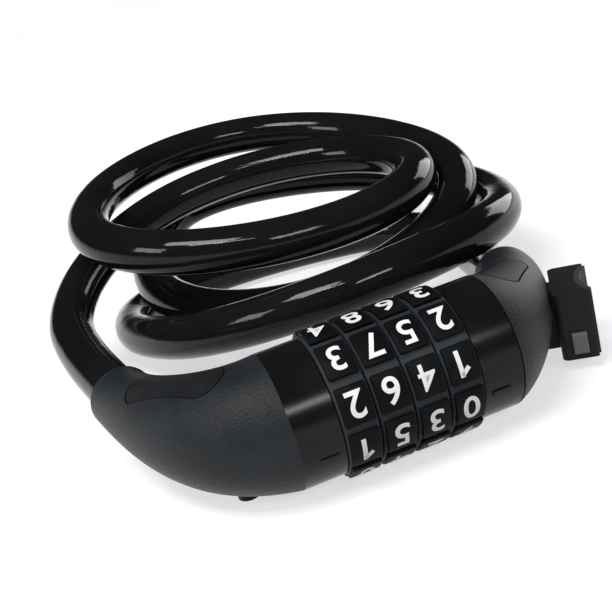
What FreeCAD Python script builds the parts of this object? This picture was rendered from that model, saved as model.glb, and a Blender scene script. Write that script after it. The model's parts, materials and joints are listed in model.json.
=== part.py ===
import FreeCAD, Part
import math
import os
from collections import namedtuple

V = FreeCAD.Vector

# All sizes are in millimetres. The lock is drawn with its dial axis along X, the dials centred on x = 0
# and the floor at z = 0, and every piece is moved to the final origin when it is written.

# Dials
DIAL_COUNT = 4
DIAL_PITCH = 7.6
DIAL_GAP = 0.3
DIAL_RADIUS = 16.0
PAD_COUNT = 10
PAD_RISE = 0.9
PAD_GROOVE = 1.7
PAD_SIDE = 0.5
DIAL_CLEARANCE = 0.1
AXIS_HEIGHT = DIAL_RADIUS + DIAL_CLEARANCE

# Slotted core that the inner rings turn on
CORE_RADIUS = 7.5
CORE_WALL = 2.9
CORE_BORE = CORE_RADIUS - CORE_WALL
SLOT_WIDTH = 3.2
CORE_RIGHT_SHORT = 0.5

# Inner rings that the dials turn
CLUTCH_THICKNESS = 3.5
CLUTCH_RADIUS = CORE_RADIUS + CLUTCH_THICKNESS
CLUTCH_KEY_WIDTH = 2.0
CLUTCH_KEY_HEIGHT = 1.0
KEY_ANGLES = (90.0, 270.0)
GATE_WIDTH = SLOT_WIDTH
NOTCH_RADIUS = 0.4

# Lock pin with one tooth for each dial
TOOTH_LENGTH = 2.7
TOOTH_PLAY = 0.2
TOOTH_WIDTH = SLOT_WIDTH - 2 * TOOTH_PLAY
TOOTH_STAND = 1.4
TOOTH_REACH = CORE_RADIUS + TOOTH_STAND
TOOTH_SETBACK = 0.4
TOOTH_CLEARANCE = 0.7
PIN_GROOVE = 1.5
SEAL_RADIUS = 0.7
SEAL_SETBACK = 3.5

# Clearances
RUN_FIT = 0.05
SEAT_FIT = 0.02
SEAM_GAP = 0.3
PLUG_LEAD_GAP = 3.9

# Collars beside the dials
COLLAR_STEP = 1.3
COLLAR_RADIUS = DIAL_RADIUS - COLLAR_STEP
COLLAR_WIDTH = 9.1
WASHER_THICKNESS = 0.6
WASHER_PLAY = 0.3
WASHER_DEPTH = WASHER_THICKNESS + WASHER_PLAY
WASHER_WIDTH = 3.1
WASHER_RADIUS = CORE_RADIUS + WASHER_WIDTH
MARK_LENGTH = 4.0
MARK_WIDTH = 1.1
MARK_RISE = 0.35
MARK_INSET = 1.5
MARK_ANGLE = 72.0
GRUB_RADIUS = 1.5
GRUB_INSET = 1.2
GRUB_LENGTH = COLLAR_RADIUS - CORE_RADIUS - GRUB_INSET

# Housings: each runs between an outer and an inner curve from its seam to its mouth and sinks a little.
# A curve leaves the seam at an angle with a pull, and reaches the mouth square with another pull.
Bend = namedtuple(
    "Bend", "side outer_angle outer_pull outer_end inner_angle inner_pull inner_end along across turn sink")
LEFT_BEND = Bend(-1, 11.0, 26.2, 19.9, 0.0, 9.1, 9.7, 26.85, 39.26, 79.0, -1.0)
RIGHT_BEND = Bend(1, 21.3, 14.6, 16.9, 16.0, 2.6, 11.9, 23.55, 36.6, 74.0, 2.9)
SQUARE = ((1, 0), (1, 1), (0, 1), (-1, 1), (-1, 0), (-1, -1), (0, -1), (1, -1), (1, 0))
WALL = 2.4
BULKHEAD = 3.2
SOCKET_WALL = 3.7
SECTIONS = 12
CAVITY_SECTIONS = 8
CAVITY_SHARE = 0.62
FOOT_SHARE = 0.2
FOOT_BACK = 1.5
FOOT_RADIUS = 2.5
FOOT_HEIGHT = 6.0
INLAY_DEPTH = 0.7
INLAY_GROOVE = 0.35
Inlay = namedtuple("Inlay", "length width tilt share")
LEFT_INLAY = Inlay(29.0, 9.5, 90.0, 0.42)
RIGHT_INLAY = Inlay(23.0, 8.5, 95.0, 0.38)

# Cable: a tube of this diameter, wound in loops behind the lock
CABLE_DIAMETER = 12.0
CABLE_RADIUS = CABLE_DIAMETER / 2
END_RUN = CABLE_DIAMETER
MIDDLE_OF_RUN = 0.45

# Cable ends inside the housings
FERRULE_WALL = 0.2
FERRULE_RADIUS = CABLE_RADIUS + FERRULE_WALL
FERRULE_LENGTH = 10.0
FERRULE_FLOOR = 2.0
STRAND_RADIUS = 3.0
STRAND_LENGTH = FERRULE_LENGTH - FERRULE_FLOOR
STRAND_PASSAGE = 10.0
MOUTH_WALL = 1.5
MOUTH_RADIUS = FERRULE_RADIUS + MOUTH_WALL
CROSS_PIN_RADIUS = 1.0
CROSS_PIN_INSET = FERRULE_LENGTH / 2
CROSS_PIN_SETBACK = 0.7
CROSS_PIN_LENGTH = 2 * (MOUTH_RADIUS - CROSS_PIN_SETBACK)

# Fasteners on the axis
NUT_WALL = 1.0
NUT_FLATS = 2 * (CORE_RADIUS + NUT_WALL)
NUT_THICKNESS = 4.0
NUT_ROOM = 0.15
SCREW_RADIUS = 1.5
SCREW_HEAD_RADIUS = 4.0
SCREW_HEAD = 2.2
SCREW_LENGTH = 9.0
SCREW_SLOT = 1.0
SCREW_SLOT_DEPTH = 0.8

# Carrying bracket on the right housing
RAIL_SHARE = 0.58
RAIL_DROP = 5.0
RAIL_ROOT = 8.0
RAIL_NECK = 6.0
RAIL_NECK_DEPTH = 2.0
RAIL_HEAD = 10.0
RAIL_HEAD_DEPTH = 2.0
RAIL_HEIGHT = 14.0
SADDLE_RADIUS = 14.3
SADDLE_DEPTH = 3.2
BRACKET_WEB = 1.4
BRACKET_DEPTH = RAIL_NECK_DEPTH + RAIL_HEAD_DEPTH + BRACKET_WEB + SADDLE_DEPTH
BRACKET_SIDE = 3.5
BRACKET_WIDTH = RAIL_HEAD + 2 * BRACKET_SIDE
BRACKET_CAP = 2.0
BRACKET_HEIGHT = RAIL_HEIGHT + BRACKET_CAP
BRACKET_GAP = 0.3
BRACKET_CORNER = 1.5
LINER_THICKNESS = 1.2
LINER_SETBACK = 0.2
BUTTON_BACK = 0.4
BUTTON_SIZE = (3.4, BRACKET_SIDE - BUTTON_BACK, 5.0)
BUTTON_PLACE = (2.6, 1.6)
BUTTON_STAND = 1.0
BUTTON_GAP = 0.15
BUTTON_EDGE = 0.4

# Each turn of the loops goes right, back, left, front, and is given by its four outermost places
TURNS = (
    ((61.0, 96.0, 6.4), (-5.0, 141.0, 6.8), (-40.0, 108.0, 9.6), (17.0, 39.0, 24.3)),
    ((72.3, 95.0, 19.3), (0.0, 158.0, 29.2), (-29.3, 114.0, 18.4), (15.0, 56.5, 17.4)),
    ((64.5, 100.0, 31.5), (11.0, 163.0, 46.4), (-43.5, 100.0, 43.2), (8.0, 57.0, 34.6)),
    ((51.6, 97.0, 35.0), (-4.5, 138.0, 37.4), (-58.0, 78.0, 20.4)),
)
HEADINGS = ((0.0, 1.0), (-1.0, 0.0), (0.0, -1.0), (1.0, 0.0))
COIL_START_HEADING = (0.14, 1.0, -0.01)
COIL_END_HEADING = (0.162, -1.0, -0.102)
ARC_STRETCH = 1.11

# Straight run at both ends of a free stretch between the loops and the lock
LEAD_RUN = 14.0

# Places along the dial axis
STACK_HALF = DIAL_COUNT * DIAL_PITCH / 2
COLLAR_FACE = STACK_HALF + DIAL_GAP / 2
SEAM = COLLAR_FACE + COLLAR_WIDTH
CLUTCH_BORE = CORE_RADIUS + RUN_FIT
DIAL_WIDTH = DIAL_PITCH - DIAL_GAP
CLUTCH_WALL = DIAL_WIDTH - TOOTH_SETBACK - TOOTH_LENGTH - TOOTH_CLEARANCE


def axis_cylinder(radius, start, end):
    """Cylinder on the dial axis between two places along X."""
    return Part.makeCylinder(radius, end - start, V(start, 0, AXIS_HEIGHT), V(1, 0, 0))


def axis_ring(outer, inner, start, end):
    """Ring on the dial axis between two places along X."""
    return axis_cylinder(outer, start, end).cut(axis_cylinder(inner, start - 1, end + 1))


def radial_box(width, low, high, start, end, angle):
    """Box that stands out from the dial axis; angle 0 points down, and it grows to the front."""
    box = Part.makeBox(end - start, width, high - low, V(start, -width / 2, AXIS_HEIGHT - high))
    return box.rotate(V(0, 0, AXIS_HEIGHT), V(1, 0, 0), -angle)


def dial_centre(number):
    """Place of a dial along the axis; dial 1 is the left one."""
    return (number - 1 - (DIAL_COUNT - 1) / 2) * DIAL_PITCH


def dial(number):
    """Number wheel with ten raised pads and two keyways for its inner ring."""
    middle = dial_centre(number)
    left = middle - DIAL_WIDTH / 2
    right = middle + DIAL_WIDTH / 2
    floor_radius = DIAL_RADIUS - PAD_RISE
    bore = CLUTCH_RADIUS + SEAT_FIT
    rim = axis_ring(floor_radius, bore, left, right)
    pads = axis_ring(DIAL_RADIUS, floor_radius - 0.2, left + PAD_SIDE, right - PAD_SIDE)
    step = 360.0 / PAD_COUNT
    for index in range(PAD_COUNT):
        angle = (index + 0.5) * step
        pads = pads.cut(radial_box(PAD_GROOVE, floor_radius, DIAL_RADIUS + 1, left, right, angle))
    wheel = rim.fuse(pads)
    key_floor = CLUTCH_RADIUS + CLUTCH_KEY_HEIGHT + SEAT_FIT
    key_width = CLUTCH_KEY_WIDTH + 2 * SEAT_FIT
    for angle in KEY_ANGLES:
        wheel = wheel.cut(radial_box(key_width, bore - 1, key_floor, left - 1, right + 1, angle))
    return wheel.removeSplitter()


def tooth_room():
    """Radius that the corners of a tooth turn in."""
    return math.hypot(TOOTH_REACH, TOOTH_WIDTH / 2) + 2 * RUN_FIT


def clutch_ring(number):
    """Inner ring: a pocket for the tooth, a wall with the gate, click notches and two keys."""
    middle = dial_centre(number)
    left = middle - DIAL_WIDTH / 2
    right = middle + DIAL_WIDTH / 2
    ring = axis_ring(CLUTCH_RADIUS, CLUTCH_BORE, left, right)
    key_top = CLUTCH_RADIUS + CLUTCH_KEY_HEIGHT
    for angle in KEY_ANGLES:
        ring = ring.fuse(radial_box(CLUTCH_KEY_WIDTH, CLUTCH_RADIUS - 1, key_top, left, right, angle))
    pocket_radius = tooth_room()
    ring = ring.cut(axis_cylinder(pocket_radius, left - 1, right - CLUTCH_WALL))
    ring = ring.cut(radial_box(GATE_WIDTH, 0, pocket_radius, left, right + 1, 0))
    step = 360.0 / PAD_COUNT
    notch_start = V(right - CLUTCH_WALL - 1, 0, AXIS_HEIGHT - CLUTCH_BORE)
    for index in range(1, PAD_COUNT):
        notch = Part.makeCylinder(NOTCH_RADIUS, CLUTCH_WALL + 2, notch_start, V(1, 0, 0))
        ring = ring.cut(notch.rotate(V(0, 0, AXIS_HEIGHT), V(1, 0, 0), index * step))
    return ring.removeSplitter()


def core_tube():
    """Slotted tube that carries the inner rings and runs back through the left collar."""
    start = -SEAM - BULKHEAD - NUT_THICKNESS
    end = SEAM - CORE_RIGHT_SHORT
    tube = axis_ring(CORE_RADIUS, CORE_BORE, start, end)
    slot = radial_box(SLOT_WIDTH, 0, CORE_RADIUS + 1, -STACK_HALF - DIAL_GAP, end + 1, 0)
    return tube.cut(slot)


def left_collar():
    """Fixed collar left of the dials, with the recess for the wave washer and the reading mark."""
    collar = axis_ring(COLLAR_RADIUS, CORE_RADIUS, -SEAM, -COLLAR_FACE)
    recess = axis_cylinder(WASHER_RADIUS + RUN_FIT, -COLLAR_FACE - WASHER_DEPTH, -COLLAR_FACE + 1)
    mark = reading_mark(-COLLAR_FACE - MARK_INSET - MARK_LENGTH)
    return collar.cut(recess).fuse(mark).removeSplitter()


def reading_mark(start):
    """Raised bar on a collar that shows the row to read."""
    top = COLLAR_RADIUS + MARK_RISE
    return radial_box(MARK_WIDTH, COLLAR_RADIUS - 1, top, start, start + MARK_LENGTH, MARK_ANGLE)


def wave_washer():
    """Thin spring ring that keeps the dials together; it lies flat in its recess."""
    start = -COLLAR_FACE - WASHER_DEPTH
    return axis_ring(WASHER_RADIUS, CORE_RADIUS + RUN_FIT, start, start + WASHER_THICKNESS)


def grub_hole_centre():
    """Place along the axis of the grub screw in the right collar."""
    return COLLAR_FACE + COLLAR_WIDTH / 2


def right_collar():
    """Fixed collar right of the dials, held on the core by a grub screw; the teeth pass its keyway."""
    end = SEAM - SEAM_GAP
    collar = axis_ring(COLLAR_RADIUS, CORE_RADIUS, COLLAR_FACE, end)
    hole = Part.makeCylinder(GRUB_RADIUS, COLLAR_RADIUS, V(grub_hole_centre(), 0, AXIS_HEIGHT), V(0, 1, 0))
    keyway = radial_box(GATE_WIDTH, 0, tooth_room(), COLLAR_FACE - 1, end + 1, 0)
    collar = collar.fuse(reading_mark(COLLAR_FACE + MARK_INSET))
    return collar.cut(hole).cut(keyway).removeSplitter()


def collar_screw():
    """Grub screw that pins the right collar to the core."""
    start = V(grub_hole_centre(), CORE_RADIUS + SEAT_FIT, AXIS_HEIGHT)
    return Part.makeCylinder(GRUB_RADIUS, GRUB_LENGTH, start, V(0, 1, 0))


def nut_prism(gap):
    """Hexagon prism of the nut, grown by a gap, behind the left bulkhead."""
    start = -SEAM - BULKHEAD - NUT_THICKNESS - gap
    corner = (NUT_FLATS / 2 + gap) / math.cos(math.radians(30))
    points = []
    for index in range(7):
        angle = math.radians(60 * index + 30)
        points.append(V(start, corner * math.cos(angle), AXIS_HEIGHT + corner * math.sin(angle)))
    return Part.Face(Part.makePolygon(points)).extrude(V(NUT_THICKNESS + gap, 0, 0))


def core_nut():
    """Hexagon nut that pulls the core against the left bulkhead."""
    start = -SEAM - BULKHEAD - NUT_THICKNESS
    return nut_prism(0).cut(axis_cylinder(CORE_RADIUS, start - 1, start + NUT_THICKNESS + 1))


def left_bulkhead():
    """Disc that closes the left housing at its seam and carries the core."""
    return axis_ring(COLLAR_RADIUS - SOCKET_WALL, CORE_RADIUS, -SEAM - BULKHEAD, -SEAM)


def plug_carrier():
    """Disc in the mouth of the right housing that carries the lock pin."""
    return axis_ring(COLLAR_RADIUS - SOCKET_WALL, CORE_BORE - RUN_FIT, SEAM, SEAM + BULKHEAD)


def pin_start():
    """Left end of the lock pin."""
    return dial_centre(1) - DIAL_WIDTH / 2


def seal_place():
    """Place along the axis of the seal ring's groove."""
    return SEAM - SEAL_SETBACK


def lock_pin():
    """Round pin with a tooth below for each dial, a seal groove and a threaded end."""
    radius = CORE_BORE - RUN_FIT
    end = SEAM + BULKHEAD
    pin = axis_cylinder(radius, pin_start(), end)
    for number in range(1, DIAL_COUNT + 1):
        left = dial_centre(number) - DIAL_WIDTH / 2 + TOOTH_SETBACK
        pin = pin.fuse(radial_box(TOOTH_WIDTH, 0, TOOTH_REACH, left, left + TOOTH_LENGTH, 0))
    groove_start = seal_place() - PIN_GROOVE / 2
    pin = pin.cut(axis_ring(radius + 1, radius - 2 * SEAL_RADIUS, groove_start, groove_start + PIN_GROOVE))
    pin = pin.cut(axis_cylinder(SCREW_RADIUS, end - SCREW_LENGTH, end + 1))
    return pin.removeSplitter()


def seal_ring():
    """Rubber ring in the groove of the lock pin."""
    centre_radius = CORE_BORE - RUN_FIT - SEAL_RADIUS
    return Part.makeTorus(centre_radius, SEAL_RADIUS, V(seal_place(), 0, AXIS_HEIGHT), V(1, 0, 0))


def pin_screw():
    """Screw that holds the lock pin to its carrier from inside the right housing."""
    face = SEAM + BULKHEAD
    shank = axis_cylinder(SCREW_RADIUS, face - SCREW_LENGTH, face)
    head = axis_cylinder(SCREW_HEAD_RADIUS, face, face + SCREW_HEAD)
    corner = V(face + SCREW_HEAD - SCREW_SLOT_DEPTH, -SCREW_HEAD_RADIUS, AXIS_HEIGHT - SCREW_SLOT / 2)
    slot = Part.makeBox(SCREW_HEAD, 2 * SCREW_HEAD_RADIUS, SCREW_SLOT, corner)
    return shank.fuse(head).cut(slot)


def cubic(knots, share):
    """Point at a share of a cubic curve with four control points."""
    rest = 1 - share
    weights = (rest ** 3, 3 * rest ** 2 * share, 3 * rest * share ** 2, share ** 3)
    point = V(0, 0, 0)
    for knot, weight in zip(knots, weights):
        point = point + knot * weight
    return point


def bend_sides(bend, share):
    """Outer and inner point of a housing's section, drawn for the right side and at no height."""
    turn = math.radians(bend.turn)
    heading = V(math.cos(turn), math.sin(turn), 0)
    outward = V(heading.y, -heading.x, 0)
    mouth = V(SEAM + bend.along, bend.across, 0)
    ways = (
        (1, bend.outer_angle, bend.outer_pull, bend.outer_end),
        (-1, bend.inner_angle, bend.inner_pull, bend.inner_end),
    )
    points = []
    for way, angle, pull, end_pull in ways:
        start = V(SEAM, -way * COLLAR_RADIUS, 0)
        end = mouth + outward * (way * MOUTH_RADIUS)
        lean = V(math.cos(math.radians(angle)), math.sin(math.radians(angle)), 0)
        points.append(cubic((start, start + lean * pull, end - heading * end_pull, end), share))
    return points


def bend_middle(bend, share):
    """Centre of a housing's section."""
    outer, inner = bend_sides(bend, share)
    middle = (outer + inner) * 0.5
    return V(bend.side * middle.x, middle.y, AXIS_HEIGHT - bend.sink * share ** 3)


def bend_pace(bend, share):
    """How fast the centre of a housing moves with the share, a vector."""
    step = 0.001
    return (bend_middle(bend, share) - bend_middle(bend, share - step)) * (1 / step)


def bend_place(bend, share):
    """Centre and heading of a housing's section, square to its sides."""
    outer, inner = bend_sides(bend, share)
    across = outer - inner
    across.normalize()
    pace = bend_pace(bend, share)
    slope = pace.z / math.hypot(pace.x, pace.y)
    heading = V(-bend.side * across.y, across.x, slope)
    heading.normalize()
    return bend_middle(bend, share), heading


def bend_radius(bend, share):
    """Outer radius of a housing's section."""
    outer, inner = bend_sides(bend, share)
    return (outer - inner).Length / 2


def section_poles(bend, share, inset):
    """Poles of a housing's round section as a rational curve that starts on top."""
    centre, heading = bend_place(bend, share)
    radius = bend_radius(bend, share) - inset
    upward = V(0, 0, 1) - heading * heading.z
    upward.normalize()
    sideways = heading.cross(upward)
    return [centre + upward * (a * radius) + sideways * (b * radius) for a, b in SQUARE]


def bend_loft(bend, inset, last_share, count):
    """Solid through the sections of a bend up to a share, each drawn in by an inset."""
    shares = [last_share * index / count for index in range(count + 1)]
    sections = [section_poles(bend, share, inset) for share in shares]
    poles = []
    weights = []
    for index in range(len(SQUARE)):
        line = Part.BSplineCurve()
        line.interpolate(Points=[section[index] for section in sections], Parameters=shares)
        poles.append(line.getPoles())
        weights.append([math.sqrt(0.5) if index % 2 else 1.0] * len(poles[-1]))
    surface = Part.BSplineSurface()
    surface.buildFromPolesMultsKnots(
        poles, [3, 2, 2, 2, 3], line.getMultiplicities(), [0, 1, 2, 3, 4], line.getKnots(),
        False, False, 2, line.Degree, weights)
    skin = surface.toShape()
    rims = [edge for edge in skin.Edges if len(edge.Vertexes) == 1]
    shell = Part.makeShell([skin] + [Part.Face(Part.Wire([rim])) for rim in rims])
    shell.sewShape()
    solid = Part.makeSolid(shell)
    solid.fix(1e-4, 1e-4, 1e-4)
    return solid


def cable_exit(bend):
    """Mouth of a housing: its centre and its outward heading."""
    return bend_place(bend, 1)


def inlay_prism(bend, size, shrink):
    """Oval prism that marks out the inlay on top of a bend."""
    centre = bend_middle(bend, size.share)
    along = bend_pace(bend, size.share)
    along.z = 0
    along.normalize()
    inward = V(-bend.side * along.y, bend.side * along.x, 0)
    tilt = math.radians(size.tilt)
    out = inward * math.cos(tilt) + V(0, 0, math.sin(tilt))
    across = out.cross(along)
    half_length = size.length / 2 - shrink
    half_width = size.width / 2 - shrink
    straight = half_length - half_width
    corner_a = centre + along * straight + across * half_width
    corner_b = centre - along * straight + across * half_width
    corner_c = centre - along * straight - across * half_width
    corner_d = centre + along * straight - across * half_width
    edges = [
        Part.LineSegment(corner_a, corner_b).toShape(),
        Part.Arc(corner_b, centre - along * half_length, corner_c).toShape(),
        Part.LineSegment(corner_c, corner_d).toShape(),
        Part.Arc(corner_d, centre + along * half_length, corner_a).toShape(),
    ]
    return Part.Face(Part.Wire(edges)).extrude(out * (3 * COLLAR_RADIUS))


def skin_patch(bend, size, shrink):
    """Outer skin of a housing inside the oval prism, as deep as the inlay."""
    outer = bend_loft(bend, 0, 1, SECTIONS)
    core = bend_loft(bend, INLAY_DEPTH, 1, SECTIONS)
    return outer.common(inlay_prism(bend, size, shrink)).cut(core)


def foot_place(bend):
    """Middle of a housing's foot on the surface that the lock lies on."""
    middle = bend_middle(bend, FOOT_SHARE)
    return V(middle.x, middle.y + FOOT_BACK, 0)


def socket(bend):
    """Seat at the seam that takes the disc of a housing, with room for the nut on the left."""
    radius = COLLAR_RADIUS - SOCKET_WALL + SEAT_FIT
    if bend.side > 0:
        return axis_cylinder(radius, SEAM - 1, SEAM + BULKHEAD)
    return axis_cylinder(radius, -SEAM - BULKHEAD, 1 - SEAM).fuse(nut_prism(NUT_ROOM))


def cavity(bend):
    """Hollow of a housing behind its disc."""
    hollow = bend_loft(bend, WALL, CAVITY_SHARE, CAVITY_SECTIONS)
    reach = SEAM + BULKHEAD
    return hollow.cut(Part.makeBox(2 * reach, 200, 200, V(-reach, -100, -100)))


def housing(bend, inlay_size):
    """Hollow bent housing on its foot, with the seat of its disc and the bores for the cable's end."""
    outer = bend_loft(bend, 0, 1, SECTIONS)
    if bend.side > 0:
        outer = outer.fuse(rail())
    outer = outer.fuse(Part.makeCylinder(FOOT_RADIUS, FOOT_HEIGHT, foot_place(bend)))
    shell = outer.cut(cavity(bend)).cut(socket(bend))
    mouth, heading = cable_exit(bend)
    bore_radius = FERRULE_RADIUS + SEAT_FIT
    bore = Part.makeCylinder(bore_radius, FERRULE_LENGTH + 1, mouth - heading * FERRULE_LENGTH, heading)
    passage_start = mouth - heading * (FERRULE_LENGTH + STRAND_PASSAGE)
    passage = Part.makeCylinder(STRAND_RADIUS, STRAND_PASSAGE + 1, passage_start, heading)
    shell = shell.cut(bore).cut(passage)
    shell = shell.cut(cross_pin(bend))
    return shell.cut(skin_patch(bend, inlay_size, 0))


def inlay(bend, inlay_size):
    """Oval grip inlay that lies flush in the recess of a housing."""
    return skin_patch(bend, inlay_size, INLAY_GROOVE)


def cross_pin(bend):
    """Upright pin through a housing and the ferrule in it."""
    mouth, heading = cable_exit(bend)
    middle = mouth - heading * CROSS_PIN_INSET
    upright = V(0, 0, 1) - heading * heading.z
    upright.normalize()
    foot = middle - upright * (CROSS_PIN_LENGTH / 2)
    return Part.makeCylinder(CROSS_PIN_RADIUS, CROSS_PIN_LENGTH, foot, upright)


def ferrule(bend):
    """Steel sleeve crimped on the cable's end, with a blind bore for the strand."""
    mouth, heading = cable_exit(bend)
    sleeve = Part.makeCylinder(FERRULE_RADIUS, FERRULE_LENGTH, mouth - heading * FERRULE_LENGTH, heading)
    bore_floor = mouth - heading * STRAND_LENGTH
    bore = Part.makeCylinder(STRAND_RADIUS, STRAND_LENGTH + 1, bore_floor, heading)
    return sleeve.cut(bore).cut(cross_pin(bend))


def strand_end(bend):
    """End of the cable's steel strand inside its ferrule."""
    mouth, heading = cable_exit(bend)
    strand = Part.makeCylinder(STRAND_RADIUS, STRAND_LENGTH, mouth - heading * STRAND_LENGTH, heading)
    return strand.cut(cross_pin(bend))


def rail_lean():
    """Angle between the right housing's outer side at the rail and the Y axis, in degrees."""
    step = 0.01
    before, _ = bend_sides(RIGHT_BEND, RAIL_SHARE - step)
    after, _ = bend_sides(RIGHT_BEND, RAIL_SHARE + step)
    return math.degrees(math.atan2(after.x - before.x, after.y - before.y))


def on_rail(shape):
    """Moves a shape from the rail's own frame, X outward and Y along the housing, to the lock."""
    outer, _ = bend_sides(RIGHT_BEND, RAIL_SHARE)
    shape.rotate(V(0, 0, 0), V(0, 0, 1), -rail_lean())
    shape.translate(V(outer.x, outer.y, AXIS_HEIGHT - RAIL_DROP))
    return shape


def rail_blocks(gap):
    """Neck and head of the rail in its own frame, grown by a gap all round for the bracket's channel."""
    low = -RAIL_HEIGHT / 2
    neck = Part.makeBox(
        RAIL_NECK_DEPTH + RAIL_ROOT, RAIL_NECK + 2 * gap, RAIL_HEIGHT,
        V(-RAIL_ROOT, -RAIL_NECK / 2 - gap, low))
    head = Part.makeBox(
        RAIL_HEAD_DEPTH + 2 * gap, RAIL_HEAD + 2 * gap, RAIL_HEIGHT,
        V(RAIL_NECK_DEPTH - gap, -RAIL_HEAD / 2 - gap, low))
    return neck.fuse(head)


def rail():
    """T-shaped rail, part of the right housing."""
    return on_rail(rail_blocks(0))


def bracket_corner():
    """Lowest front corner of the bracket nearest to the lock, in the rail's frame."""
    return V(BRACKET_GAP, -BRACKET_WIDTH / 2, -BRACKET_HEIGHT / 2)


def saddle_axis():
    """Place of the upright axis of the round frame tube that the saddle takes, in the rail's frame."""
    return V(BRACKET_GAP + BRACKET_DEPTH - SADDLE_DEPTH + SADDLE_RADIUS, 0, -BRACKET_HEIGHT)


def button_corner(gap):
    """Corner of the release button, or of its pocket when a gap is given, in the rail's frame."""
    corner = bracket_corner()
    return V(corner.x + BUTTON_PLACE[0] - gap, corner.y - BUTTON_STAND, corner.z + BUTTON_PLACE[1] - gap)


def bracket_body():
    """Bracket block with the channel for the rail, the saddle for a frame tube and the button pocket."""
    corner = bracket_corner()
    block = Part.makeBox(BRACKET_DEPTH, BRACKET_WIDTH, BRACKET_HEIGHT, corner)
    upright = [edge for edge in block.Edges if edge.BoundBox.ZLength > BRACKET_HEIGHT / 2]
    block = block.makeFillet(BRACKET_CORNER, upright)
    channel = rail_blocks(BRACKET_GAP)
    channel.translate(V(0, 0, BRACKET_GAP))
    lower = rail_blocks(BRACKET_GAP)
    lower.translate(V(0, 0, BRACKET_GAP - RAIL_HEIGHT / 2))
    block = block.cut(channel.fuse(lower))
    block = block.cut(Part.makeCylinder(SADDLE_RADIUS, 100, saddle_axis(), V(0, 0, 1)))
    pocket = Part.makeBox(
        BUTTON_SIZE[0] + 2 * BUTTON_GAP, BUTTON_SIZE[1] + BUTTON_STAND, BUTTON_SIZE[2] + 2 * BUTTON_GAP,
        button_corner(BUTTON_GAP))
    return on_rail(block.cut(pocket))


def bracket_liner():
    """Rubber lining bonded into the bracket's saddle."""
    corner = bracket_corner()
    foot = V(saddle_axis().x, 0, corner.z)
    outer = Part.makeCylinder(SADDLE_RADIUS, BRACKET_HEIGHT, foot, V(0, 0, 1))
    inner = Part.makeCylinder(SADDLE_RADIUS - LINER_THICKNESS, BRACKET_HEIGHT, foot, V(0, 0, 1))
    side = BRACKET_CORNER + LINER_SETBACK
    reach = Part.makeBox(BRACKET_DEPTH, BRACKET_WIDTH - 2 * side, BRACKET_HEIGHT, corner + V(0, side, 0))
    return on_rail(outer.cut(inner).common(reach))


def release_button():
    """Push button in the front face of the bracket."""
    button = Part.makeBox(BUTTON_SIZE[0], BUTTON_SIZE[1], BUTTON_SIZE[2], button_corner(0))
    front = [edge for edge in button.Edges if edge.BoundBox.YMax < button.BoundBox.YMin + 0.01]
    return on_rail(button.makeFillet(BUTTON_EDGE, front))


def cross_arc(start, tangent, end):
    """Arc edge from a point along a tangent to an end point, its radius and its end tangent."""
    chord = end - start
    along = chord.dot(tangent)
    side = chord - tangent * along
    reach = chord.dot(chord)
    radius = reach / (2 * side.Length)
    side.normalize()
    half = math.atan2(chord.dot(side), along)
    middle = start + tangent * (radius * math.sin(half)) + side * (radius * (1 - math.cos(half)))
    end_tangent = chord * (2 * along / reach) - tangent
    return Part.Arc(start, middle, end).toShape(), radius, end_tangent


def biarc(start, start_tangent, end, end_tangent):
    """Two tangent arcs that join two points with given headings, and their radii."""
    span = end - start
    a = 2 * (start_tangent.dot(end_tangent) - 1)
    b = -2 * span.dot(start_tangent + end_tangent)
    c = span.dot(span)
    reach = (-b - math.sqrt(b * b - 4 * a * c)) / (2 * a)
    if reach < 0:
        reach = (-b + math.sqrt(b * b - 4 * a * c)) / (2 * a)
    join = (start + end + (start_tangent - end_tangent) * reach) * 0.5
    first, first_radius, tangent = cross_arc(start, start_tangent, join)
    second, second_radius, _ = cross_arc(join, tangent, end)
    return [first, second], [first_radius, second_radius]


def coil_places():
    """Points of the loops with a unit heading at each."""
    points = [V(*place) for turn in TURNS for place in turn]
    headings = []
    for index, point in enumerate(points):
        before = points[max(index - 1, 0)]
        after = points[min(index + 1, len(points) - 1)]
        length = ((point - before).Length + (after - point).Length) * ARC_STRETCH
        flat = HEADINGS[index % len(HEADINGS)]
        headings.append(V(flat[0], flat[1], (after.z - before.z) / length))
    headings[0] = V(*COIL_START_HEADING)
    headings[-1] = V(*COIL_END_HEADING)
    for heading in headings:
        heading.normalize()
    return points, headings


def coil_path():
    """Edges of the loops' centreline, with a straight run of one diameter at both ends."""
    points, headings = coil_places()
    first = points[0] - headings[0] * END_RUN
    last = points[-1] + headings[-1] * END_RUN
    edges = [Part.LineSegment(first, points[0]).toShape()]
    radii = []
    for index in range(len(points) - 1):
        pair, pair_radii = biarc(points[index], headings[index], points[index + 1], headings[index + 1])
        edges += pair
        radii += pair_radii
    edges.append(Part.LineSegment(points[-1], last).toShape())
    return edges, radii


def tube_along(edges, radius):
    """Round tube along a chain of tangent edges."""
    start = edges[0].valueAt(edges[0].FirstParameter)
    tangent = edges[0].tangentAt(edges[0].FirstParameter)
    profile = Part.Wire(Part.makeCircle(radius, start, tangent))
    return Part.Wire(edges).makePipeShell([profile], True, False)


def check_volume(name, shape, edges, radius):
    """Prints a tube's volume beside its section times its length."""
    length = sum(edge.Length for edge in edges)
    expected = math.pi * radius ** 2 * length
    ratio = round(shape.Volume / expected, 5)
    print(name, "valid", shape.isValid(), "length", round(length, 1), "volume ratio", ratio)


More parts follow.
